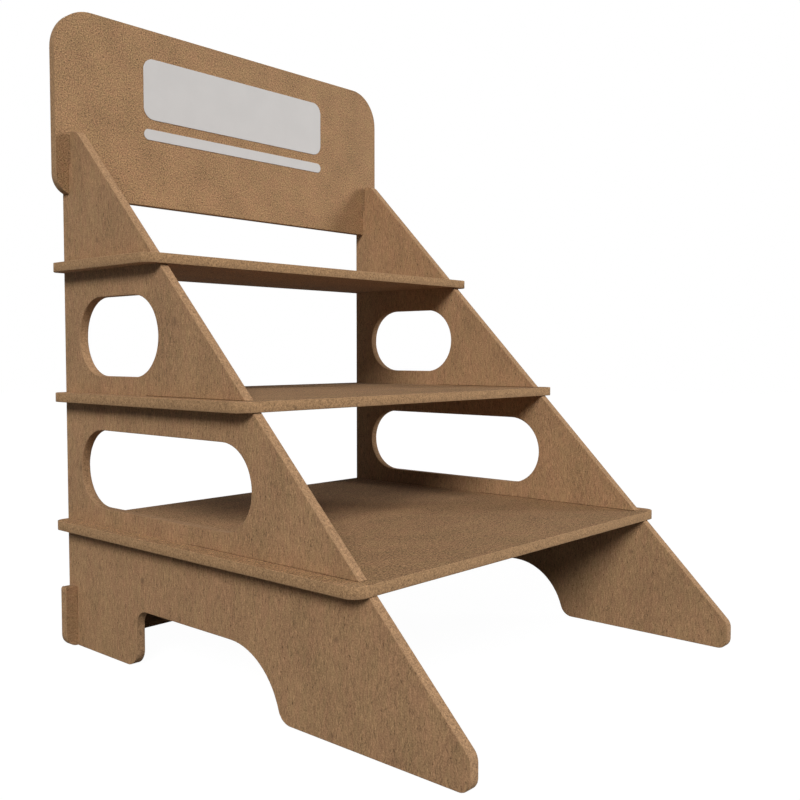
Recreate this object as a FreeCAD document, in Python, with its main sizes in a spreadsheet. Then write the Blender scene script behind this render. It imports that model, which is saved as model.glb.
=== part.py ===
import FreeCAD, Part
import math
import os
from types import SimpleNamespace

import Sketcher

# Counter display stand of seven flat boards that slot together with no screw or glue.
# Two slanted side panels carry three shelves on half-laps cut in from the slanted front.
# A tall header drops into both sides from above, and a low rail ties their rear feet.
#
# Frame: X across the stand, Y to the rear, Z up. The origin is the middle of the footprint, on the floor.
# Each board's sketch starts at its own natural corner or middle, and the board is centred on its sketch.

# Every size in mm, with what it measures
SIZES = {
    "board": (9, "thickness of every board"),
    "stand_width": (450, "across the shelves, end to end"),
    "side_height": (500, "side panel, floor to its level top"),
    "side_depth": (500, "side panel, rear edge to toe"),
    "wing": (15.5, "how far a shelf stands out past a side panel"),
    "apex_flat": (25, "level top of a side panel, from the rear edge to the slant"),
    "toe_height": (25, "upright front of the toe, floor to the slant"),
    "slant_corner": (12, "radius where the slant meets the level top and the toe"),
    "toe_corner": (10, "radius under the toe"),
    "rear_foot": (117.5, "rear foot, rear edge to the arch"),
    "front_foot": (185.5, "front foot, arch to the toe"),
    "foot_corner": (15, "radius of the rear foot's front corner and of the arch above it"),
    "heel_corner": (14, "radius where the arch meets the floor at the front foot"),
    "arch_height": (53.5, "floor to the flat of the arch"),
    "arch_sweep": (62, "radius of the arch's long curve down to the front foot"),
    "shelf_rise": (115.5, "floor to the underside of the bottom shelf"),
    "shelf_pitch": (125, "from one shelf to the next"),
    "nosing": (11, "how far a shelf's top stands out ahead of the slanted edge"),
    "top_nosing": (14, "how far the top shelf's top stands out ahead of the slanted edge"),
    "shelf_front_corner": (12, "radius of a shelf's front corners, seen from above"),
    "shelf_rear_corner": (10, "radius of a shelf's rear corners, seen from above"),
    "hole_height": (74, "height of the round-ended holes in a side panel"),
    "hole_rise": (16.5, "from a shelf's top up to the hole above it"),
    "hole_rear_margin": (27, "from the rear edge to a hole"),
    "hole_front_margin": (65, "from a hole to the slanted edge, at the hole's mid height"),
    "slot_play": (0.2, "what a half-lap slot is wider than the board in it"),
    "rear_lip": (3, "strip of side panel left behind the header and the rail"),
    "rear_play": (3, "what a side panel's slots for the header and the rail are wider than the board"),
    "header_wing": (13.5, "how far the header stands out past a side panel"),
    "header_height": (180, "header, bottom to top"),
    "header_lap": (60, "how far the header reaches down past the top of the sides"),
    "header_top_corner": (40, "radius of the header's upper corners"),
    "header_bottom_corner": (20, "radius of the header's lower corners"),
    "rail_wing": (12.5, "how far the lower back panel stands out past a side panel"),
    "rail_height": (59, "lower back panel, floor to top"),
    "rail_top_corner": (2, "radius of the lower back panel's upper corners"),
    "rail_bottom_corner": (12, "radius of the lower back panel's lower corners"),
}

# From the floor up; each side panel has a hole over every shelf but the top one
SHELVES = ["bottom_shelf", "middle_shelf", "top_shelf"]

SAME_PLACE = 1e-3
PARTS_FOLDER = "parts"

doc = FreeCAD.newDocument("DisplayStand")


class Length:
    """A size in mm that also carries the sheet formula that gives it."""

    def __init__(self, number, formula):
        self.number = float(number)
        self.formula = formula

    def __add__(self, other):
        return Length(self.number + plain(other), f"({self.formula} + {formula_of(other)})")

    def __sub__(self, other):
        return Length(self.number - plain(other), f"({self.formula} - {formula_of(other)})")

    def __mul__(self, other):
        return Length(self.number * plain(other), f"({self.formula} * {formula_of(other)})")

    def __truediv__(self, other):
        return Length(self.number / plain(other), f"({self.formula} / {formula_of(other)})")

    def __neg__(self):
        return Length(-self.number, f"(-1 * {self.formula})")


def plain(value):
    """The number of a Length, or the number itself."""
    return value.number if isinstance(value, Length) else float(value)


def formula_of(value):
    """The sheet formula of a Length, or the number as text."""
    return value.formula if isinstance(value, Length) else str(value)


def size_sheet():
    """Write every size to the sheet under its own alias, and give them back as Lengths."""
    sheet = doc.addObject("Spreadsheet::Sheet", "Sizes")
    lengths = SimpleNamespace()
    for row, (alias, (number, meaning)) in enumerate(SIZES.items(), start=1):
        sheet.set(f"A{row}", alias)
        sheet.set(f"B{row}", str(number))
        sheet.set(f"C{row}", meaning)
        sheet.setAlias(f"B{row}", alias)
        setattr(lengths, alias, Length(number, f"Sizes.{alias}"))
    doc.recompute()
    return lengths


size = size_sheet()


# Places that more than one board shares, measured from the rear edge forward and from the floor up

side_outer = size.stand_width / 2 - size.wing
side_mid = side_outer - size.board / 2
rear_plane = size.side_depth / 2
header_bottom = size.side_height - size.header_lap
header_seat = size.side_height - size.header_lap / 2
rail_seat = size.rail_height / 2
side_slot = size.board + size.slot_play
rear_slot = size.board + size.rear_play


def shelf_underside(level):
    """Height of a shelf's underside; level 0 is the bottom shelf."""
    return size.shelf_rise + size.shelf_pitch * level


def slant_at(height):
    """Distance from the rear edge to the slanted edge at a height."""
    run = size.side_depth - size.apex_flat
    rise = size.side_height - size.toe_height
    return size.apex_flat + (size.side_height - height) * run / rise


def shelf_lap(level):
    """Distance from the rear edge to the middle of a shelf's half-lap, where the two slots end."""
    return slant_at(shelf_underside(level) + size.board) / 2


# Drawing

def new_sketch(body, name, role):
    """A sketch on one of the body's own origin planes."""
    sketch = body.newObject("Sketcher::SketchObject", name)
    plane = [feature for feature in body.Origin.OriginFeatures if feature.Role == role][0]
    sketch.AttachmentSupport = [(plane, "")]
    sketch.MapMode = "FlatFace"
    return sketch


def fix_point(sketch, line, end, axis, value):
    """Hold one end of a line or arc at a distance from the sketch's origin."""
    if plain(value) == 0:
        axis_line = -2 if axis == "X" else -1
        sketch.addConstraint(Sketcher.Constraint("PointOnObject", line, end, axis_line))
        return
    constraint = Sketcher.Constraint("Distance" + axis, -1, 1, line, end, plain(value))
    bind(sketch, constraint, value)


def bind(sketch, constraint, value):
    """Add a dimension and tie it to its sheet formula."""
    index = sketch.addConstraint(constraint)
    sketch.setExpression(f"Constraints[{index}]", formula_of(value))


def draw_polygon(sketch, corners):
    """A closed outline of straight lines through (x, y) corners."""
    points = [FreeCAD.Vector(plain(x), plain(y), 0) for x, y in corners]
    lines = []
    for start, end in zip(points, points[1:] + points[:1]):
        lines.append(sketch.addGeometry(Part.LineSegment(start, end), False))
    for number, (x, y) in enumerate(corners):
        line, before = lines[number], lines[number - 1]
        x_before, y_before = corners[number - 1]
        sketch.addConstraint(Sketcher.Constraint("Coincident", before, 2, line, 1))
        if formula_of(x) == formula_of(x_before):
            sketch.addConstraint(Sketcher.Constraint("Vertical", before))
        else:
            fix_point(sketch, line, 1, "X", x)
        if formula_of(y) == formula_of(y_before):
            sketch.addConstraint(Sketcher.Constraint("Horizontal", before))
        else:
            fix_point(sketch, line, 1, "Y", y)


def draw_box(sketch, left, right, low, high):
    """A rectangle between two upright and two level lines."""
    draw_polygon(sketch, [(left, low), (right, low), (right, high), (left, high)])


def draw_round_ended_hole(sketch, left, right, middle, height):
    """A hole with two level edges and half-round ends."""
    radius = height / 2
    centres = (left + radius, right - radius)
    quarter = math.pi / 2
    arcs = []
    for centre, start in zip(centres, (quarter, -quarter)):
        circle = Part.Circle(
            FreeCAD.Vector(plain(centre), plain(middle), 0), FreeCAD.Vector(0, 0, 1), plain(radius)
        )
        arcs.append(sketch.addGeometry(Part.ArcOfCircle(circle, start, start + math.pi), False))
    top, bottom = [
        sketch.addGeometry(
            Part.LineSegment(
                FreeCAD.Vector(plain(centres[0]), plain(middle) + side * plain(radius), 0),
                FreeCAD.Vector(plain(centres[1]), plain(middle) + side * plain(radius), 0),
            ),
            False,
        )
        for side in (1, -1)
    ]
    rear_arc, front_arc = arcs
    sketch.addConstraint(Sketcher.Constraint("Tangent", rear_arc, 1, top, 1))
    sketch.addConstraint(Sketcher.Constraint("Tangent", rear_arc, 2, bottom, 1))
    sketch.addConstraint(Sketcher.Constraint("Tangent", front_arc, 1, bottom, 2))
    sketch.addConstraint(Sketcher.Constraint("Tangent", front_arc, 2, top, 2))
    sketch.addConstraint(Sketcher.Constraint("Equal", rear_arc, front_arc))
    sketch.addConstraint(Sketcher.Constraint("Horizontal", rear_arc, 3, front_arc, 3))
    bind(sketch, Sketcher.Constraint("Radius", rear_arc, plain(radius)), radius)
    fix_point(sketch, rear_arc, 3, "X", centres[0])
    fix_point(sketch, rear_arc, 3, "Y", middle)
    fix_point(sketch, front_arc, 3, "X", centres[1])


# Cutting a board

def start_board(label, role, corners):
    """A new body with the board's plain outline, centred on its sketch plane."""
    body = doc.addObject("PartDesign::Body", label)
    body.Label = label
    outline = new_sketch(body, label + "_outline", role)
    draw_polygon(outline, corners)
    pad = body.newObject("PartDesign::Pad", label + "_board")
    pad.Profile = outline
    pad.SideType = "Symmetric"
    pad.setExpression("Length", formula_of(size.board))
    doc.recompute()
    return body


def cut_through(body, name, role, draw):
    """Cut what draw puts in a new sketch right through the board, and check that it cut something."""
    before = body.Shape.Volume
    sketch = new_sketch(body, name, role)
    draw(sketch)
    pocket = body.newObject("PartDesign::Pocket", name + "_cut")
    pocket.Profile = sketch
    pocket.Type = "ThroughAll"
    pocket.SideType = "Symmetric"
    doc.recompute()
    if body.Shape.Volume >= before:
        raise RuntimeError(name + " cut nothing")


def round_corners(body, name, axes, corners, radius):
    """Round the edges that run through the board at the given corners of its sketch."""
    across, up = axes
    found = []
    for index, edge in enumerate(body.Shape.Edges, start=1):
        for x, y in corners:
            ends = [
                abs(getattr(vertex.Point, across) - plain(x)) + abs(getattr(vertex.Point, up) - plain(y))
                for vertex in edge.Vertexes
            ]
            if len(ends) == 2 and max(ends) < SAME_PLACE:
                found.append(f"Edge{index}")
    if len(found) != len(corners):
        raise RuntimeError(f"{name} found {len(found)} of {len(corners)} corners")
    faces, base = len(body.Shape.Faces), body.Tip
    fillet = body.newObject("PartDesign::Fillet", name)
    fillet.Base = (base, found)
    fillet.setExpression("Radius", formula_of(radius))
    doc.recompute()
    if len(body.Shape.Faces) <= faces:
        raise RuntimeError(name + " rounded nothing")


def place(body, x=0, y=0, z=0):
    """Put the board where it stands, with each distance tied to the sheet."""
    for axis, value in (("x", x), ("y", y), ("z", z)):
        body.setExpression("Placement.Base." + axis, formula_of(value))
    doc.recompute()


# Side panels: the sketch starts at the rear edge on the floor, and runs forward along negative x

SIDE_PLANE = "YZ_Plane"
SIDE_AXES = ("y", "z")


def draw_arch(sketch):
    """The arch between the feet: upright at the rear, flat on top, a long curve down to the front foot."""
    heel = -(size.side_depth - size.front_foot)
    rear = -size.rear_foot
    radius = plain(size.arch_sweep)
    centre_height = plain(size.arch_height) - radius
    centre_x = plain(heel) + (radius ** 2 - centre_height ** 2) ** 0.5
    centre = FreeCAD.Vector(centre_x, centre_height, 0)
    crown = FreeCAD.Vector(centre_x, plain(size.arch_height), 0)
    heel_point = FreeCAD.Vector(plain(heel), 0, 0)
    rear_low = FreeCAD.Vector(plain(rear), 0, 0)
    rear_high = FreeCAD.Vector(plain(rear), plain(size.arch_height), 0)

    floor = sketch.addGeometry(Part.LineSegment(heel_point, rear_low), False)
    upright = sketch.addGeometry(Part.LineSegment(rear_low, rear_high), False)
    flat = sketch.addGeometry(Part.LineSegment(rear_high, crown), False)
    toward_heel = heel_point - centre
    middle = (toward_heel + crown - centre).normalize() * radius + centre
    sweep = sketch.addGeometry(Part.Arc(crown, middle, heel_point), False)

    sketch.addConstraint(Sketcher.Constraint("Horizontal", floor))
    sketch.addConstraint(Sketcher.Constraint("Vertical", upright))
    sketch.addConstraint(Sketcher.Constraint("Horizontal", flat))
    sketch.addConstraint(Sketcher.Constraint("Coincident", floor, 2, upright, 1))
    sketch.addConstraint(Sketcher.Constraint("Coincident", upright, 2, flat, 1))
    sketch.addConstraint(Sketcher.Constraint("Tangent", flat, 2, sweep, 1))
    sketch.addConstraint(Sketcher.Constraint("Coincident", sweep, 2, floor, 1))
    fix_point(sketch, floor, 1, "X", heel)
    fix_point(sketch, floor, 1, "Y", 0)
    fix_point(sketch, floor, 2, "X", rear)
    fix_point(sketch, upright, 2, "Y", size.arch_height)
    bind(sketch, Sketcher.Constraint("Radius", sweep, radius), size.arch_sweep)


def draw_side_holes(sketch):
    """A round-ended hole over each shelf but the top one, as long as the slant allows."""
    for level in range(len(SHELVES) - 1):
        low = shelf_underside(level) + size.board + size.hole_rise
        middle = low + size.hole_height / 2
        front = -(slant_at(middle) - size.hole_front_margin)
        draw_round_ended_hole(sketch, front, -size.hole_rear_margin, middle, size.hole_height)


def draw_side_slots(sketch):
    """The shelves' slots in from the slant, the header's from the top and the rail's from the floor."""
    for level in range(len(SHELVES)):
        low = shelf_underside(level)
        draw_box(sketch, -size.side_depth, -shelf_lap(level), low, low + side_slot)
    front, rear = -(size.rear_lip + rear_slot), -size.rear_lip
    draw_box(sketch, front, rear, header_seat, size.side_height)
    draw_box(sketch, front, rear, 0, rail_seat)


def side_panel(label, mid_plane):
    """A slanted side panel with its mid plane at the given x."""
    front = -size.side_depth
    apex = (-size.apex_flat, size.side_height)
    toe_top = (front, size.toe_height)
    toe = (front, 0)
    body = start_board(label, SIDE_PLANE, [(0, 0), (0, size.side_height), apex, toe_top, toe])
    cut_through(body, label + "_arch", SIDE_PLANE, draw_arch)
    cut_through(body, label + "_holes", SIDE_PLANE, draw_side_holes)
    heel = (-(size.side_depth - size.front_foot), 0)
    foot_front = (-size.rear_foot, 0)
    arch_rear = (-size.rear_foot, size.arch_height)
    round_corners(body, label + "_slant_corners", SIDE_AXES, [apex, toe_top], size.slant_corner)
    round_corners(body, label + "_toe_corner", SIDE_AXES, [toe], size.toe_corner)
    round_corners(body, label + "_heel_corner", SIDE_AXES, [heel], size.heel_corner)
    round_corners(body, label + "_foot_corners", SIDE_AXES, [foot_front, arch_rear], size.foot_corner)
    cut_through(body, label + "_slots", SIDE_PLANE, draw_side_slots)
    place(body, x=mid_plane, y=rear_plane)
    return body


# Shelves: the sketch starts at the middle of the rear edge, and runs forward along negative y

SHELF_PLANE = "XY_Plane"
SHELF_AXES = ("x", "y")


def shelf(label, level):
    """A shelf that slides in from the front; its slots run forward from its rear edge."""
    half = size.stand_width / 2
    nosing = size.top_nosing if level == len(SHELVES) - 1 else size.nosing
    front = -(slant_at(shelf_underside(level) + size.board) + nosing)
    corners = [(-half, 0), (half, 0), (half, front), (-half, front)]
    body = start_board(label, SHELF_PLANE, corners)
    round_corners(body, label + "_rear_corners", SHELF_AXES, corners[:2], size.shelf_rear_corner)
    round_corners(body, label + "_front_corners", SHELF_AXES, corners[2:], size.shelf_front_corner)

    def draw_slots(sketch):
        for middle in (-side_mid, side_mid):
            draw_box(sketch, middle - side_slot / 2, middle + side_slot / 2, -shelf_lap(level), 0)

    cut_through(body, label + "_slots", SHELF_PLANE, draw_slots)
    place(body, y=rear_plane, z=shelf_underside(level) + size.board / 2)
    return body


# Upright boards across the rear: the sketch starts at the middle of the bottom edge

CROSS_PLANE = "XZ_Plane"
CROSS_AXES = ("x", "z")


def cross_board(label, wing, height, top_radius, bottom_radius, slot_low, slot_high):
    """An upright board across both sides, with a slot for each side panel between two heights."""
    half = side_outer + wing
    corners = [(-half, 0), (half, 0), (half, height), (-half, height)]
    body = start_board(label, CROSS_PLANE, corners)
    round_corners(body, label + "_bottom_corners", CROSS_AXES, corners[:2], bottom_radius)
    round_corners(body, label + "_top_corners", CROSS_AXES, corners[2:], top_radius)

    def draw_slots(sketch):
        for middle in (-side_mid, side_mid):
            draw_box(sketch, middle - side_slot / 2, middle + side_slot / 2, slot_low, slot_high)

    cut_through(body, label + "_slots", CROSS_PLANE, draw_slots)
    return body


def header_panel():
    """The header: its slots open downward, and it stands at the rear of the sides' slots."""
    body = cross_board(
        "header_panel", size.header_wing, size.header_height, size.header_top_corner,
        size.header_bottom_corner, 0, header_seat - header_bottom,
    )
    place(body, y=rear_plane - size.rear_lip - size.board / 2, z=header_bottom)
    return body


def lower_back_panel():
    """The rail on the floor: its slots open upward, and it stands at the front of the sides' slots."""
    body = cross_board(
        "lower_back_panel", size.rail_wing, size.rail_height, size.rail_top_corner,
        size.rail_bottom_corner, rail_seat, size.rail_height,
    )
    place(body, y=rear_plane - size.rear_lip - rear_slot + size.board / 2)
    return body


boards = [side_panel("left_side_panel", -side_mid), side_panel("right_side_panel", side_mid)]
boards += [shelf(label, level) for level, label in enumerate(SHELVES)]
boards += [header_panel(), lower_back_panel()]
doc.recompute()

for item in doc.Objects:
    if "Invalid" in item.State or "Error" in item.State:
        raise RuntimeError(f"{item.Label} failed: {item.State}")
for body in boards:
    shape = body.Shape
    if shape.isNull() or not shape.isValid() or len(shape.Solids) != 1:
        raise RuntimeError(f"{body.Label} is not one valid solid")

os.makedirs(PARTS_FOLDER, exist_ok=True)
for body in boards:
    body.Shape.exportStep(os.path.join(PARTS_FOLDER, body.Label + ".step"))
    box = body.Shape.BoundBox
    print(
        f"{body.Label:18s} {body.Shape.Volume / 1000:8.1f} cm3"
        f"  x {box.XMin:8.2f} {box.XMax:8.2f}  y {box.YMin:8.2f} {box.YMax:8.2f}"
        f"  z {box.ZMin:8.2f} {box.ZMax:8.2f}"
    )
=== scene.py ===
# %% [markdown]
# # A counter display stand of raw fibreboard
#
# The stand is seven flat boards that slot into each other: two slanted sides, three shelves, a tall header
# and a low rail at the back. Their shapes are already right, so this lesson is about the finish. Raw
# fibreboard has two very different skins. Its pressed faces are smooth and show short curled fibres. Its
# sawn edges are coarse, warm and full of grain.

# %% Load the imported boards
import math

import bpy
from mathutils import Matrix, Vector


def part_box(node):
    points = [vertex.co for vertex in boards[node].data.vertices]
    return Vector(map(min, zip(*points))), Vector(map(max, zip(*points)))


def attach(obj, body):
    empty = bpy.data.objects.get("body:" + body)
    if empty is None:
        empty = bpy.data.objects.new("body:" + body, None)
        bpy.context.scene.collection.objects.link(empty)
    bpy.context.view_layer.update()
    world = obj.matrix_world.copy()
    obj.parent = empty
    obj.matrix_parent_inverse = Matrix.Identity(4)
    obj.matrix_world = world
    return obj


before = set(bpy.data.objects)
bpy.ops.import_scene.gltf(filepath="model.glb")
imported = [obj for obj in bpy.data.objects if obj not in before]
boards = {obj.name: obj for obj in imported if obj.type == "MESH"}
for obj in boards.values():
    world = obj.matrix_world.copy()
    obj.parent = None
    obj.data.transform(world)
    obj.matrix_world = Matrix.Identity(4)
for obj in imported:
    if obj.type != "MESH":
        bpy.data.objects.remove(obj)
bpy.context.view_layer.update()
print("boards:", ", ".join(sorted(boards)))

# %% [markdown]
# ## Camera
#
# The photograph was taken from the front left, a little above the middle of the stand, so the near side
# panel shows its outer face and the far one its inner face. The verticals stay upright, which means an
# almost level camera. The lens's length goes with a sensor 36 mm wide, the usual full frame.

# %% Place the camera
CAMERA_PLACE = Vector((-0.6898, -0.6147, 0.2872))
CAMERA_HEADING = math.radians(-48.36)
CAMERA_TILT_DOWN = math.radians(2.80)
CAMERA_LENS = 42.68
CAMERA_SHIFT = 0.002
SENSOR_WIDTH = 36.0


def place_camera():
    """A camera at the photograph's place, looking a little down."""
    data = bpy.data.cameras.new("camera")
    data.sensor_width = SENSOR_WIDTH
    data.lens = CAMERA_LENS
    data.shift_x = CAMERA_SHIFT
    camera = bpy.data.objects.new("camera", data)
    camera.location = CAMERA_PLACE
    camera.rotation_euler = (math.pi / 2 - CAMERA_TILT_DOWN, 0, CAMERA_HEADING)
    bpy.context.scene.collection.objects.link(camera)
    bpy.context.scene.camera = camera
    return camera


camera = place_camera()
print("camera", [round(v, 3) for v in camera.location])

# %% [markdown]
# ## Light
#
# The shadows give the lamps away. Under each shelf's wing a dark band falls on the left panel, and its
# lower border is a soft ramp, so the lamp at the front left is a large one. Its height and heading follow
# from how far those bands reach down, and how the shelves' shadows slant across the right panel. The right
# panel's own shadow on the header belongs to a second large lamp, lower and at the front right. A sun lamp
# with a wide angle does both. A third, level with the floor, shines on the back alone and doesn't reach
# what the front shows.

# %% Set up the lamps
LAMPS = {
    # name: (direction from the stand to the lamp, strength, angle across in degrees)
    "front_left": ((-1.29, -0.926, 1.0), 2.66, 22.0),
    "front_right": ((1.33, -1.0, 0.45), 1.88, 20.0),
    "rear_fill": ((0.0, 1.0, 0.0), 1.3, 12.0),
}
# A sun shines the same from any distance, so this only keeps the lamps clear of the stand
LAMP_DISTANCE = 3.0


def add_lamp(name, towards, strength, angle):
    """A sun lamp that shines from the given direction."""
    data = bpy.data.lights.new(name, "SUN")
    data.energy = strength
    data.angle = math.radians(angle)
    lamp = bpy.data.objects.new(name, data)
    lamp.location = Vector(towards).normalized() * LAMP_DISTANCE
    lamp.rotation_euler = Vector(towards).to_track_quat("Z", "Y").to_euler()
    bpy.context.scene.collection.objects.link(lamp)
    return lamp


lamps = [add_lamp(name, *how) for name, how in LAMPS.items()]
print("lamps:", ", ".join(lamp.name for lamp in lamps))

# %% [markdown]
# ## Node helpers
#
# Every material below is built from many small nodes, and each one takes several lines: add it, set its
# options, and fill or link its sockets. The first helper does all of that, and takes plain values or the
# outputs of other nodes. The others stand on it, so that a recipe reads almost like a sum on paper.

# %% Helpers for nodes
def add_node(tree, kind, inputs=None, **options):
    """Add a node. An input is a plain value or another node's output."""
    node = tree.nodes.new(kind)
    for option, value in options.items():
        setattr(node, option, value)
    for socket, value in (inputs or {}).items():
        if isinstance(value, bpy.types.NodeSocket):
            tree.links.new(value, node.inputs[socket])
        else:
            node.inputs[socket].default_value = value
    return node


def maths(tree, operation, *values):
    """One step of arithmetic on numbers."""
    return add_node(tree, "ShaderNodeMath", dict(enumerate(values)), operation=operation).outputs[0]


def plus(tree, first, second):
    """The sum of two numbers."""
    return maths(tree, "ADD", first, second)


def minus(tree, first, second):
    """The first number less the second."""
    return maths(tree, "SUBTRACT", first, second)


def times(tree, first, second):
    """The product of two numbers."""
    return maths(tree, "MULTIPLY", first, second)


def over(tree, first, second):
    """The first number divided by the second."""
    return maths(tree, "DIVIDE", first, second)


def vector_maths(tree, operation, *values):
    """One step of arithmetic on vectors."""
    node = add_node(tree, "ShaderNodeVectorMath", dict(enumerate(values)), operation=operation)
    return node.outputs["Value" if operation in ("DOT_PRODUCT", "LENGTH") else "Vector"]


def spread(tree, value, low, high, new_low=0.0, new_high=1.0):
    """Stretch a value from one range to another with soft ends."""
    inputs = {"Value": value, "From Min": low, "From Max": high, "To Min": new_low, "To Max": new_high}
    return add_node(tree, "ShaderNodeMapRange", inputs, interpolation_type="SMOOTHSTEP").outputs["Result"]


# %% [markdown]
# ## Node groups
#
# An effect that several boards share, such as their fibres, is a node group: a small tree with named inputs
# and outputs. It is built once and placed in each material with its own values, so a change reaches every
# board.

# %% Helpers for node groups
def new_group(name, inputs, outputs):
    """A shader group with named sockets. Returns the group, its input node and its output node."""
    group = bpy.data.node_groups.new(name, "ShaderNodeTree")
    for label, kind, value in inputs:
        socket = group.interface.new_socket(label, in_out="INPUT", socket_type="NodeSocket" + kind)
        socket.default_value = value
    for label, kind in outputs:
        group.interface.new_socket(label, in_out="OUTPUT", socket_type="NodeSocket" + kind)
    return group, group.nodes.new("NodeGroupInput"), group.nodes.new("NodeGroupOutput")


def use_group(tree, group, inputs):
    """Place a group in a tree, with its own values."""
    return add_node(tree, "ShaderNodeGroup", inputs, node_tree=group)


def send(tree, node, outputs):
    """Feed a group's outputs."""
    for label, value in outputs.items():
        tree.links.new(value, node.inputs[label])


# %% [markdown]
# ## Where the saw went
#
# One material has to know the pressed face from the sawn edge of the same board. A painted mask would do
# it, but the board's own shape already tells: on a face the surface points along the board's thickness, and
# on a sawn edge it points across. The small rounding between them lies halfway, and that gives the arris
# for free.

# %% Group: sawn edge and arris from the surface direction
# How far the surface points along the thickness: 1 on a face, 0 on a sawn edge
FACE_FROM = 0.8
EDGE_BELOW = 0.3


def make_cut_masks():
    """Masks for the sawn edge and for the rounding beside it."""
    group, given, out = new_group(
        "Cut edge and arris",
        [("Normal", "Vector", (0, 0, 1)), ("Thickness axis", "Vector", (0, 0, 1))],
        [("Cut edge", "Float"), ("Arris", "Float")],
    )
    along = maths(group, "ABSOLUTE", vector_maths(
        group, "DOT_PRODUCT", given.outputs["Normal"], given.outputs["Thickness axis"]
    ))
    cut = spread(group, along, FACE_FROM, EDGE_BELOW)
    near_middle = times(group, minus(group, 1.0, along), along)
    arris = spread(group, near_middle, 0.02, 0.2)
    send(group, out, {"Cut edge": cut, "Arris": arris})
    return group


cut_masks = make_cut_masks()
print("node group:", cut_masks.name)

# %% [markdown]
# ## Fibres
#
# Up close the face is a felt of short wood fibres, a few millimetres long, lying every way and slightly
# curled. Noise alone gives clouds and no fibres. Here each cell of a Voronoi pattern holds one stroke: the
# cell's own colour is its dice, and says how the stroke is turned, which way it curls and whether it is
# there at all.

# %% Group: short curled strokes
def scatter(tree, place, cell):
    """Cells on a flat board: each cell's three dice, and the way from its own point."""
    inputs = {"Vector": place, "Scale": over(tree, 1.0, cell)}
    voronoi = add_node(tree, "ShaderNodeTexVoronoi", inputs, voronoi_dimensions="2D")
    dice = add_node(tree, "ShaderNodeSeparateColor", {"Color": voronoi.outputs["Color"]})
    from_point = vector_maths(tree, "SUBTRACT", place, voronoi.outputs["Position"])
    return dice.outputs, from_point


def make_strokes():
    """A mask of short curled strokes."""
    group, given, out = new_group(
        "Fibre strokes",
        [
            ("Place", "Vector", (0, 0, 0)), ("Cell", "Float", 0.007), ("Half length", "Float", 0.003),
            ("Half width", "Float", 0.0005), ("Turn", "Float", math.pi), ("Share", "Float", 0.8),
        ],
        [("Mask", "Float")],
    )
    dice, from_point = scatter(group, given.outputs["Place"], given.outputs["Cell"])
    angle = times(group, minus(group, dice["Red"], 0.5), given.outputs["Turn"])
    turned = add_node(
        group, "ShaderNodeVectorRotate", {"Vector": from_point, "Angle": angle}, rotation_type="Z_AXIS"
    )
    parts = add_node(group, "ShaderNodeSeparateXYZ", {"Vector": turned.outputs[0]}).outputs
    along = over(group, parts["Y"], given.outputs["Half length"])
    curl = times(group, minus(group, dice["Green"], 0.5), given.outputs["Half length"])
    bend = times(group, times(group, along, along), curl)
    sideways = over(group, plus(group, parts["X"], bend), given.outputs["Half width"])
    reach = plus(group, times(group, along, along), times(group, sideways, sideways))
    stroke = spread(group, reach, 1.0, 0.2)
    there = maths(group, "LESS_THAN", dice["Blue"], given.outputs["Share"])
    send(group, out, {"Mask": times(group, stroke, there)})
    return group


strokes = make_strokes()
print("node group:", strokes.name)

# %% [markdown]
# ## Noise and colour
#
# Clouds, streaks and grain all come from one soft noise at different sizes. It is given by the size of its
# blobs in metres, so that a size measured on the board can be typed in as it is.

# %% Helpers for noise and colours
def noise(tree, place, size, detail=2.0, roughness=0.5, distortion=0.0):
    """Soft noise whose blobs are about this size in metres."""
    inputs = {
        "Vector": place, "Scale": 1.0 / size, "Detail": detail,
        "Roughness": roughness, "Distortion": distortion,
    }
    return add_node(tree, "ShaderNodeTexNoise", inputs).outputs["Fac"]


def mix(tree, mask, low, high, blend="MIX"):
    """Mix two colours by a mask."""
    inputs = {0: mask, 6: low, 7: high}
    return add_node(tree, "ShaderNodeMix", inputs, data_type="RGBA", blend_type=blend).outputs[2]


def toned(tree, colour, tone):
    """A colour made paler or darker by a number around 1."""
    shade = add_node(tree, "ShaderNodeCombineColor", dict.fromkeys(("Red", "Green", "Blue"), tone))
    return mix(tree, 1.0, colour, shade.outputs["Color"], "MULTIPLY")


# %% [markdown]
# ## Pressed face
#
# The hot press leaves the face even and matt. Its colour wanders a little over a few centimetres, pale and
# dark fibres lie in it, and now and then there is a fleck of bark. Between the fibres is a fine grain. A
# second noise, stretched by Run, gives faint streaks along the board. On the sides the fibres lean upright,
# as if the sheet's length stood upright there, and a small Turn does that.

# %% Group: pressed fibreboard face
PALE_FIBRES = (
    # offset, then cell, half length and half width in metres, and the share of cells with a stroke
    ((0.31, 0.17, 0), 0.0056, 0.0028, 0.00045, 0.7),
    ((0.83, 0.59, 0), 0.0072, 0.0036, 0.0005, 0.6),
)
DARK_FIBRES = (
    ((0.47, 0.91, 0), 0.0060, 0.0030, 0.00045, 0.6),
    ((0.13, 0.37, 0), 0.0085, 0.0040, 0.0005, 0.5),
)
DARK_FLECKS = ((0.71, 0.23, 0), 0.013, 0.0014, 0.0007, 0.5)
PALE_FLECKS = ((0.19, 0.67, 0), 0.024, 0.0013, 0.0010, 0.4)
ANY_WAY = math.pi

CLOUD_SIZE = 0.035
REDNESS_SIZE = 0.016
STREAK_SIZE = 0.0019
RED_STREAK_SIZE = 0.0042
GRAIN_SIZE = 0.0013

# How far each layer pushes the tone from 1
CLOUD_PUSH = 0.55
STREAK_PUSH = 0.75
FIBRE_PUSH = 0.17
DARK_FLECK_PUSH = -0.4
PALE_FLECK_PUSH = 0.22
RED_STREAK_SHARE = 0.9
GREENER = (0.985, 1.02, 0.98, 1)
REDDER = (1.02, 0.975, 0.99, 1)


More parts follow.
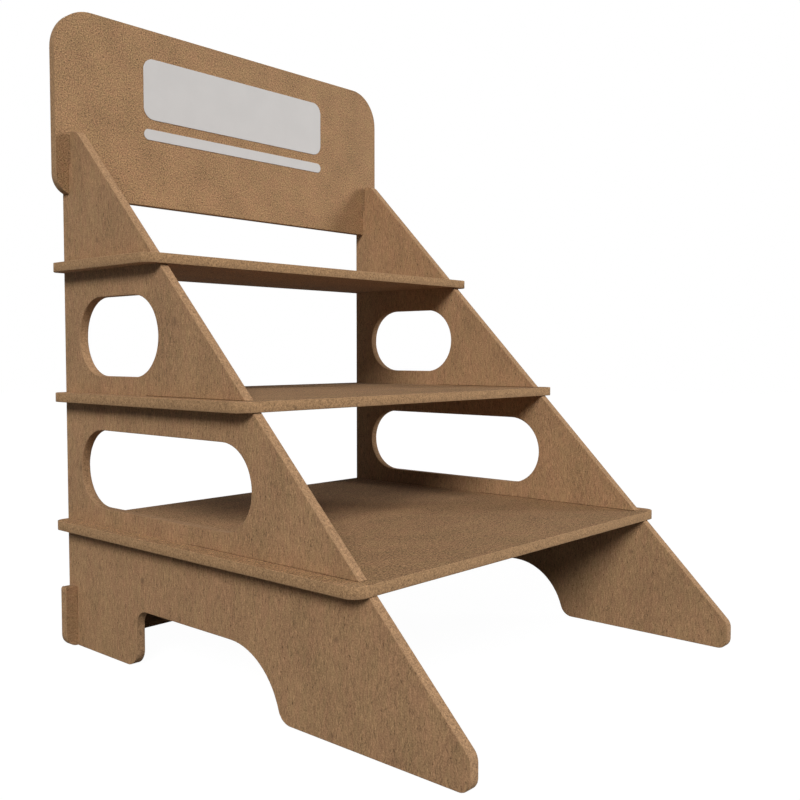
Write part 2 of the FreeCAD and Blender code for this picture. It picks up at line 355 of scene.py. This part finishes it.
def make_pressed_face():
    """Colour, height and roughness of a pressed face."""
    group, given, out = new_group(
        "Pressed face",
        [
            ("Place", "Vector", (0, 0, 0)), ("Lengthen", "Vector", (1, 1, 1)), ("Run", "Vector", (1, 1, 1)),
            ("Colour", "Color", (0.4, 0.25, 0.13, 1)), ("Turn", "Float", ANY_WAY),
            ("Fibre", "Float", 1.0), ("Streak", "Float", 1.0), ("Grain", "Float", 1.0),
        ],
        [("Colour", "Color"), ("Height", "Float"), ("Roughness", "Float")],
    )
    place = given.outputs["Place"]
    stretched = vector_maths(group, "MULTIPLY", place, given.outputs["Lengthen"])
    running = vector_maths(group, "MULTIPLY", place, given.outputs["Run"])

    def layer(offset, cell, half_length, half_width, share, turn=given.outputs["Turn"]):
        """A layer of strokes, moved so that no two layers lie alike."""
        return use_group(group, strokes, {
            "Place": vector_maths(group, "ADD", place, offset), "Cell": cell, "Half length": half_length,
            "Half width": half_width, "Turn": turn, "Share": share,
        }).outputs["Mask"]

    def swing(source):
        """A value around 0.5 becomes one around 0."""
        return minus(group, source, 0.5)

    pale = maths(group, "MAXIMUM", *[layer(*fibres) for fibres in PALE_FIBRES])
    dark = maths(group, "MAXIMUM", *[layer(*fibres) for fibres in DARK_FIBRES])
    clouds = noise(group, stretched, CLOUD_SIZE, detail=3.0, roughness=0.6)
    streak = noise(group, running, STREAK_SIZE, detail=2.5, roughness=0.6, distortion=0.5)
    fine = noise(group, place, GRAIN_SIZE, roughness=0.7)
    pushes = (
        times(group, swing(clouds), CLOUD_PUSH),
        times(group, times(group, swing(streak), STREAK_PUSH), given.outputs["Streak"]),
        times(group, swing(fine), given.outputs["Grain"]),
        times(group, times(group, minus(group, pale, dark), FIBRE_PUSH), given.outputs["Fibre"]),
        times(group, layer(*DARK_FLECKS), DARK_FLECK_PUSH),
        times(group, layer(*PALE_FLECKS, turn=ANY_WAY), PALE_FLECK_PUSH),
    )
    tone = 1.0
    for push in pushes:
        tone = plus(group, tone, push)

    moved = vector_maths(group, "ADD", stretched, (0.4, 0.8, 0.2))
    redness = noise(group, moved, REDNESS_SIZE, detail=3.0, roughness=0.65)
    moved = vector_maths(group, "ADD", running, (0.7, 0.3, 0.1))
    red_streak = noise(group, moved, RED_STREAK_SIZE)
    warmth = plus(group, swing(redness), times(group, swing(red_streak), RED_STREAK_SHARE))
    tint = mix(group, spread(group, warmth, -0.3, 0.3), GREENER, REDDER)
    colour = toned(group, mix(group, 1.0, given.outputs["Colour"], tint, "MULTIPLY"), tone)

    height = plus(group, times(group, fine, 0.2), times(group, pale, 0.3))
    height = minus(group, height, times(group, dark, 0.25))
    roughness = spread(group, fine, 0.2, 0.8, 0.80, 0.92)
    send(group, out, {"Colour": colour, "Height": height, "Roughness": roughness})
    return group


pressed_face = make_pressed_face()
print("node group:", pressed_face.name)

# %% [markdown]
# ## Sawn edge
#
# The saw opens the board. Its edge is a mass of torn fibre ends, so it is coarser and warmer than the face,
# with the loosest fibres in the middle of the thickness, and denser skins near both faces. The grain is
# rounder, because the fibres are seen end on. So plain noise in three dimensions is enough here. The
# shelves' edges also get a painted shade that darkens them towards their lower side, and Shade below sets
# how much.

# %% Group: sawn edge
EDGE_FINE_SIZE = 0.0009
EDGE_COARSE_SIZE = 0.0023
FINE_SHARE = 0.6
EDGE_PUSH = 2.2
SKIN_CALM = 0.35


def make_sawn_edge():
    """Colour, height and roughness of a sawn edge. Across runs from -1 to 1 over the thickness."""
    group, given, out = new_group(
        "Sawn edge",
        [
            ("Place", "Vector", (0, 0, 0)), ("Across", "Float", 0.0),
            ("Colour", "Color", (0.5, 0.33, 0.18, 1)), ("Grain", "Float", 1.0), ("Shade below", "Float", 0.0),
        ],
        [("Colour", "Color"), ("Height", "Float"), ("Roughness", "Float")],
    )
    place = given.outputs["Place"]
    fine = noise(group, place, EDGE_FINE_SIZE)
    coarse = noise(group, place, EDGE_COARSE_SIZE, roughness=0.6)
    speckle = plus(group, times(group, fine, FINE_SHARE), times(group, coarse, 1 - FINE_SHARE))
    skin = spread(group, maths(group, "ABSOLUTE", given.outputs["Across"]), 0.55, 0.98)
    calmer = minus(group, 1.0, times(group, skin, SKIN_CALM))
    push = times(group, times(group, minus(group, speckle, 0.5), given.outputs["Grain"]), calmer)
    tone = plus(group, 1.0, times(group, push, EDGE_PUSH))
    tone = times(group, tone, spread(group, skin, 0.0, 1.0, 1.02, 0.95))
    # Painted shade: the edge grows darker towards its lower side, by as much as Shade below
    lowest = minus(group, 1.0, given.outputs["Shade below"])
    tone = times(group, tone, spread(group, given.outputs["Across"], -1.0, 0.6, lowest, 1.0))
    roughness = spread(group, fine, 0.2, 0.8, 0.88, 0.98)
    colour = toned(group, given.outputs["Colour"], tone)
    send(group, out, {"Colour": colour, "Height": speckle, "Roughness": roughness})
    return group


sawn_edge = make_sawn_edge()
print("node group:", sawn_edge.name)

# %% [markdown]
# ## Smudges and the worn arris
#
# The corners between face and edge are touched most. They lose their sharpness first, and the raw fibre
# shows paler there in short broken stretches. A few soft smudges sit on the faces, as on any unsealed
# board.

# %% Groups: worn arris and smudges
WEAR_PATCH = 0.006
SMUDGE_CELL = 0.075
SMUDGE_LEAST = 0.003
SMUDGE_RANGE = 0.003
SMUDGE_SHARE = 0.45


def make_arris_wear():
    """A mask of broken stretches along the arris."""
    group, given, out = new_group(
        "Arris wear", [("Place", "Vector", (0, 0, 0)), ("Arris", "Float", 0.0), ("Amount", "Float", 0.5)],
        [("Mask", "Float")],
    )
    broken = spread(group, noise(group, given.outputs["Place"], WEAR_PATCH, detail=3.0), 0.35, 0.6)
    worn = times(group, given.outputs["Arris"], plus(group, times(group, broken, 0.7), 0.3))
    send(group, out, {"Mask": times(group, worn, given.outputs["Amount"])})
    return group


def make_smudges():
    """A mask of a few soft spots."""
    group, given, out = new_group(
        "Smudges", [("Place", "Vector", (0, 0, 0)), ("Amount", "Float", 0.2)], [("Mask", "Float")]
    )
    dice, from_point = scatter(group, given.outputs["Place"], SMUDGE_CELL)
    size = plus(group, times(group, dice["Red"], SMUDGE_RANGE), SMUDGE_LEAST)
    spot = spread(group, over(group, vector_maths(group, "LENGTH", from_point), size), 1.0, 0.1)
    there = maths(group, "LESS_THAN", dice["Green"], SMUDGE_SHARE)
    send(group, out, {"Mask": times(group, times(group, spot, there), given.outputs["Amount"])})
    return group


arris_wear = make_arris_wear()
smudges = make_smudges()
print("node groups:", arris_wear.name, "and", smudges.name)

# %% [markdown]
# ## Which way a board lies
#
# A shelf lies flat, a side stands along the stand and the header across it. Each board's thin direction can
# be read from its own box, so one recipe serves all of them.

# %% Find each board's thickness
def thickness_axis(node):
    """0, 1 or 2 for the thin direction of a board, with its middle and half thickness."""
    low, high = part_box(node)
    sizes = list(high - low)
    axis = sizes.index(min(sizes))
    return axis, (low[axis] + high[axis]) / 2, sizes[axis] / 2


for name in sorted(boards):
    axis, middle, half = thickness_axis(name)
    print(f"{name}: {half * 2000:.1f} mm thick along {'XYZ'[axis]}")

# %% [markdown]
# ## Board materials
#
# Each board gets its own material from the same groups: where the fibres lie, how strong they are and how
# strong the grain looks differ from board to board. The light on the shelves' ends, outside the sides, is
# stronger in the photograph than the lamps here make it, so the faces are paler there.

# %% Helpers for whole materials
def empty_tree(owner):
    """The empty node tree of a new material or world."""
    owner.use_nodes = True
    owner.node_tree.nodes.clear()
    return owner.node_tree


def show(tree, shader, kind="Material"):
    """Send a shader to the tree's output."""
    add_node(tree, "ShaderNodeOutput" + kind, {"Surface": shader.outputs[0]})


# %% Build a board material
WORN_COLOUR = (0.43, 0.26, 0.14, 1)
SMUDGE_COLOUR = (0.16, 0.09, 0.05, 1)
WEAR = 0.3
EDGE_GRAIN = 1.3
GRAIN_DEPTH = 0.0004
GRAIN_RELIEF = 0.35
BOARD_SHINE = 0.25
WING_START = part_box("right_side_panel")[1].x
WING_BORDER = 0.001
WING_PAINTED_LIGHT = (1.28, 1.29, 1.31, 1)


def board_material(node, slot, finish, offset):
    """Pressed faces, sawn edges and worn arrises for one board."""
    axis, middle, half = thickness_axis(node)
    material = bpy.data.materials.new(f"{node}_{slot}")
    tree = empty_tree(material)
    where = add_node(tree, "ShaderNodeTexCoord").outputs["Object"]
    facing = add_node(tree, "ShaderNodeNewGeometry").outputs["Normal"]
    parts = add_node(tree, "ShaderNodeSeparateXYZ", {"Vector": where}).outputs
    first, second = [label for label in "XYZ" if label != "XYZ"[axis]]
    flat = add_node(tree, "ShaderNodeCombineXYZ", {"X": parts[first], "Y": parts[second]}).outputs[0]
    flat = vector_maths(tree, "ADD", flat, offset)
    solid = vector_maths(tree, "ADD", where, offset)
    across = over(tree, minus(tree, parts["XYZ"[axis]], middle), half)

    axis_vector = [1.0 if number == axis else 0.0 for number in range(3)]
    cut = use_group(tree, cut_masks, {"Normal": facing, "Thickness axis": axis_vector}).outputs
    face = use_group(tree, pressed_face, {"Place": flat, **finish["face"]}).outputs
    edge = use_group(
        tree, sawn_edge, {"Place": solid, "Across": across, "Grain": EDGE_GRAIN, **finish["edge"]}
    ).outputs
    smudge = use_group(tree, smudges, {"Place": flat, "Amount": finish["smudge"]}).outputs["Mask"]
    touched = {"Place": solid, "Arris": cut["Arris"], "Amount": WEAR}
    wear = use_group(tree, arris_wear, touched).outputs["Mask"]

    face_colour = mix(tree, smudge, face["Colour"], SMUDGE_COLOUR)
    # Painted light: a shelf's faces are made paler outside the side panels, standing in for stronger light
    # on its ends
    if slot == "shelf_board":
        outside = spread(tree, maths(tree, "ABSOLUTE", parts["X"]), WING_START - WING_BORDER, WING_START)
        face_colour = mix(tree, outside, face_colour, WING_PAINTED_LIGHT, "MULTIPLY")
    colour = mix(tree, wear, mix(tree, cut["Cut edge"], face_colour, edge["Colour"]), WORN_COLOUR)
    height, roughness = [
        add_node(
            tree, "ShaderNodeMix", {0: cut["Cut edge"], 2: face[label], 3: edge[label]}, data_type="FLOAT"
        ).outputs[0]
        for label in ("Height", "Roughness")
    ]
    relief = {"Strength": GRAIN_RELIEF, "Distance": GRAIN_DEPTH, "Height": height}
    bump = add_node(tree, "ShaderNodeBump", relief)
    show(tree, add_node(tree, "ShaderNodeBsdfPrincipled", {
        "Base Color": colour, "Roughness": roughness, "Normal": bump.outputs["Normal"],
        "Specular IOR Level": BOARD_SHINE,
    }))
    return material


# %% [markdown]
# ## Finishes
#
# The boards are of one kind, but they aren't alike in the photograph. The sides show upright streaks, the
# shelves a strong grain with streaks along their length, and the header an even round grain with few
# fibres. So each kind of board has its own values for the same groups.

# %% Values for each kind of board
LEANING = math.radians(60)
# Less than 1 in a direction stretches the pattern that way
EVEN = (1.0, 1.0, 1.0)
TALL = (1.0, 0.4, 1.0)
LONG = (0.6, 1.0, 1.0)
TALL_RUN = (1.0, 0.24, 1.0)
LONG_RUN = (0.35, 1.0, 1.0)

SIDE_FACE = (0.346, 0.2035, 0.1045, 1)
SIDE_EDGE = (0.362, 0.2135, 0.1110, 1)
SHELF_FACE = (0.327, 0.1905, 0.0945, 1)
SHELF_EDGE = (0.366, 0.2185, 0.1085, 1)
HEADER_FACE = (0.353, 0.2075, 0.1040, 1)
UPRIGHT_EDGE = (0.345, 0.205, 0.105, 1)

FINISHES = {
    # material slot: inputs of the face's group and of the edge's group, and the strength of the smudges
    "side_board": {
        "face": {
            "Colour": SIDE_FACE, "Turn": LEANING, "Lengthen": TALL, "Run": TALL_RUN,
            "Fibre": 1.6, "Streak": 1.15, "Grain": 1.5,
        },
        "edge": {"Colour": SIDE_EDGE, "Shade below": 0.0},
        "smudge": 0.5,
    },
    "shelf_board": {
        "face": {
            "Colour": SHELF_FACE, "Turn": ANY_WAY, "Lengthen": LONG, "Run": LONG_RUN,
            "Fibre": 1.0, "Streak": 2.2, "Grain": 4.4,
        },
        "edge": {"Colour": SHELF_EDGE, "Shade below": 0.18},
        "smudge": 0.2,
    },
    "header_board": {
        "face": {
            "Colour": HEADER_FACE, "Turn": ANY_WAY, "Lengthen": EVEN, "Run": EVEN,
            "Fibre": 0.4, "Streak": 0.7, "Grain": 3.3,
        },
        "edge": {"Colour": UPRIGHT_EDGE, "Shade below": 0.0},
        "smudge": 0.0,
    },
    "rail_board": {
        "face": {
            "Colour": SIDE_FACE, "Turn": ANY_WAY, "Lengthen": LONG, "Run": LONG_RUN,
            "Fibre": 1.2, "Streak": 1.2, "Grain": 1.2,
        },
        "edge": {"Colour": UPRIGHT_EDGE, "Shade below": 0.0},
        "smudge": 0.3,
    },
}
print("finishes:", ", ".join(FINISHES))

# %% [markdown]
# ## Dress the boards
#
# The boards keep their exact shape. Only their sharp corners are softened by a fraction of a millimetre, as
# sanding leaves them, so that they catch a thin line of light. A bevel that works on edges over 35 degrees
# leaves the facets of the round corners alone.

# %% Finish every board
ARRIS_ROUND = 0.0006
ARRIS_SEGMENTS = 3
SHARP_FROM = math.radians(35)
SAME_POINT = 1e-5

SHEET_PLACES = {
    # board: its material slot, and where on the sheet it was cut, so that no two boards look the same
    "left_side_panel": ("side_board", (0.0, 0.0, 0.0)),
    "right_side_panel": ("side_board", (1.3, 0.4, 0.0)),
    "bottom_shelf": ("shelf_board", (2.1, 1.7, 0.0)),
    "middle_shelf": ("shelf_board", (3.2, 0.9, 0.0)),
    "top_shelf": ("shelf_board", (4.6, 2.3, 0.0)),
    "header_panel": ("header_board", (5.4, 3.8, 0.0)),
    "lower_back_panel": ("rail_board", (6.5, 1.1, 0.0)),
}


def soften_corners(board):
    """Join the doubled points along the board's corners, then round them."""
    weld = board.modifiers.new("weld", "WELD")
    weld.merge_threshold = SAME_POINT
    bevel = board.modifiers.new("soft_corners", "BEVEL")
    bevel.width = ARRIS_ROUND
    bevel.segments = ARRIS_SEGMENTS
    bevel.limit_method = "ANGLE"
    bevel.angle_limit = SHARP_FROM
    bevel.harden_normals = True
    bevel.use_clamp_overlap = False


for name, (slot, offset) in SHEET_PLACES.items():
    board = boards[name]
    soften_corners(board)
    board.data.materials.clear()
    board.data.materials.append(board_material(name, slot, FINISHES[slot], offset))
    print(f"{name}: finished as {slot}")

# %% [markdown]
# ## Print on the header
#
# The header is the stand's place for print. Here it has a blank: a pale grey rounded field and a slim bar
# under it, as if cut from matt self-adhesive film. Film this thin has a soft edge, follows the board's
# fibres a little, and never shines.

# %% Cut the blank print fields
FILM_THICKNESS = 0.0006
HEADER_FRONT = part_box("header_panel")[0].y
PRINT_FIELDS = {
    # name: (middle height, width, height, corner radius)
    "print_field": (0.560, 0.250, 0.062, 0.012),
    "print_bar": (0.5135, 0.250, 0.011, 0.0055),
}


def rounded_outline(width, height, radius, steps=10):
    """Points around a rectangle with round corners, in its own middle."""
    points = []
    for quarter, (side, up) in enumerate(((1, 1), (-1, 1), (-1, -1), (1, -1))):
        for step in range(steps + 1):
            angle = math.pi / 2 * (quarter + step / steps)
            points.append((
                side * (width / 2 - radius) + radius * math.cos(angle),
                up * (height / 2 - radius) + radius * math.sin(angle),
            ))
    return points


def cut_film(name, height_middle, width, height, radius):
    """A thin rounded sheet on the header's front."""
    outline = rounded_outline(width, height, radius)
    count = len(outline)
    front, back = HEADER_FRONT - FILM_THICKNESS, HEADER_FRONT
    points = [(x, y, height_middle + z) for y in (front, back) for x, z in outline]
    faces = [tuple(range(count)), tuple(reversed(range(count, 2 * count)))]
    faces += [(i, i + count, (i + 1) % count + count, (i + 1) % count) for i in range(count)]
    mesh = bpy.data.meshes.new(name)
    mesh.from_pydata(points, [], faces)
    mesh.update()
    film = bpy.data.objects.new(name, mesh)
    bpy.context.scene.collection.objects.link(film)
    soft = film.modifiers.new("soft_edge", "BEVEL")
    soft.width = FILM_THICKNESS / 3
    soft.segments = 2
    soft.limit_method = "ANGLE"
    soft.angle_limit = math.radians(50)
    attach(film, "root")
    return film


# %% Give the film its finish
FILM_GREY = (0.62, 0.60, 0.585, 1)
FILM_DARKER = tuple(value * 0.97 for value in FILM_GREY[:3]) + (1,)
FILM_CLOUD_SIZE = 0.03
FILM_DEPTH = 0.0002
FILM_RELIEF = 0.25
FILM_SHINE = 0.3


def film_material():
    """Matt film that shows the board's fibres faintly through it."""
    material = bpy.data.materials.new("matt_film")
    tree = empty_tree(material)
    where = add_node(tree, "ShaderNodeTexCoord").outputs["Object"]
    grain_below = noise(tree, where, GRAIN_SIZE, detail=1.0)
    clouds = noise(tree, where, FILM_CLOUD_SIZE, detail=3.0)
    relief = {"Strength": FILM_RELIEF, "Distance": FILM_DEPTH, "Height": grain_below}
    bump = add_node(tree, "ShaderNodeBump", relief)
    show(tree, add_node(tree, "ShaderNodeBsdfPrincipled", {
        "Base Color": mix(tree, spread(tree, clouds, 0.3, 0.7), FILM_DARKER, FILM_GREY),
        "Roughness": spread(tree, grain_below, 0.2, 0.8, 0.55, 0.7),
        "Normal": bump.outputs["Normal"], "Specular IOR Level": FILM_SHINE,
    }))
    return material


film_finish = film_material()
for name, shape in PRINT_FIELDS.items():
    film = cut_film(name, *shape)
    film.data.materials.append(film_finish)
    print(f"{name}: {len(film.data.vertices)} points, {shape[1] * 1000:.0f} by {shape[2] * 1000:.0f} mm")

# %% [markdown]
# ## Floor and background
#
# A pale floor runs back into a white background. It is bright by itself, and takes only a soft shadow, so
# the boards stay the darkest thing in the picture. For every ray but the camera's it is a dim grey, because
# light thrown up from a white floor would lift the deep shadows under the shelves.

# %% Make the floor
WHITE = (1.0, 1.0, 1.0, 1.0)
FLOOR_HALF = 6.0
FLOOR_GLOW = 0.98
FLOOR_TAKES = (0.05, 0.05, 0.05, 1)
FLOOR_BOUNCE = (0.22, 0.22, 0.22, 1)


def floor_material():
    """A floor that glows for the camera and is a dim grey for all other light."""
    material = bpy.data.materials.new("pale_floor")
    tree = empty_tree(material)
    seen = add_node(tree, "ShaderNodeLightPath").outputs["Is Camera Ray"]
    takes = add_node(tree, "ShaderNodeBsdfDiffuse", {"Color": FLOOR_TAKES})
    glow = add_node(tree, "ShaderNodeEmission", {"Color": WHITE, "Strength": FLOOR_GLOW})
    pale = add_node(tree, "ShaderNodeAddShader", {0: takes.outputs[0], 1: glow.outputs[0]})
    dim = add_node(tree, "ShaderNodeBsdfDiffuse", {"Color": FLOOR_BOUNCE})
    show(tree, add_node(tree, "ShaderNodeMixShader", {0: seen, 1: dim.outputs[0], 2: pale.outputs[0]}))
    return material


def make_floor():
    """A large pale plane under the stand."""
    mesh = bpy.data.meshes.new("floor")
    corners = [(x * FLOOR_HALF, y * FLOOR_HALF, 0) for x, y in ((-1, -1), (1, -1), (1, 1), (-1, 1))]
    mesh.from_pydata(corners, [], [(0, 1, 2, 3)])
    mesh.materials.append(floor_material())
    floor = bpy.data.objects.new("floor", mesh)
    bpy.context.scene.collection.objects.link(floor)
    return floor


floor = make_floor()
print(f"{floor.name}: {2 * FLOOR_HALF:.0f} m wide")

# %% Make the background
AMBIENT = 0.095
AMBIENT_ABOVE = 0.125


def make_background():
    """White where the camera looks, and elsewhere a dim light that is strongest overhead."""
    world = bpy.data.worlds.new("studio")
    tree = empty_tree(world)
    seen = add_node(tree, "ShaderNodeLightPath").outputs["Is Camera Ray"]
    direction = add_node(tree, "ShaderNodeTexCoord").outputs["Generated"]
    up = add_node(tree, "ShaderNodeSeparateXYZ", {"Vector": direction}).outputs["Z"]
    strength = spread(tree, seen, 0.0, 1.0, spread(tree, up, 0.0, 1.0, AMBIENT, AMBIENT_ABOVE), 1.0)
    show(tree, add_node(tree, "ShaderNodeBackground", {"Color": WHITE, "Strength": strength}), "World")
    return world


bpy.context.scene.world = make_background()
bpy.context.scene.view_settings.view_transform = "Standard"
print("background:", bpy.context.scene.world.name)
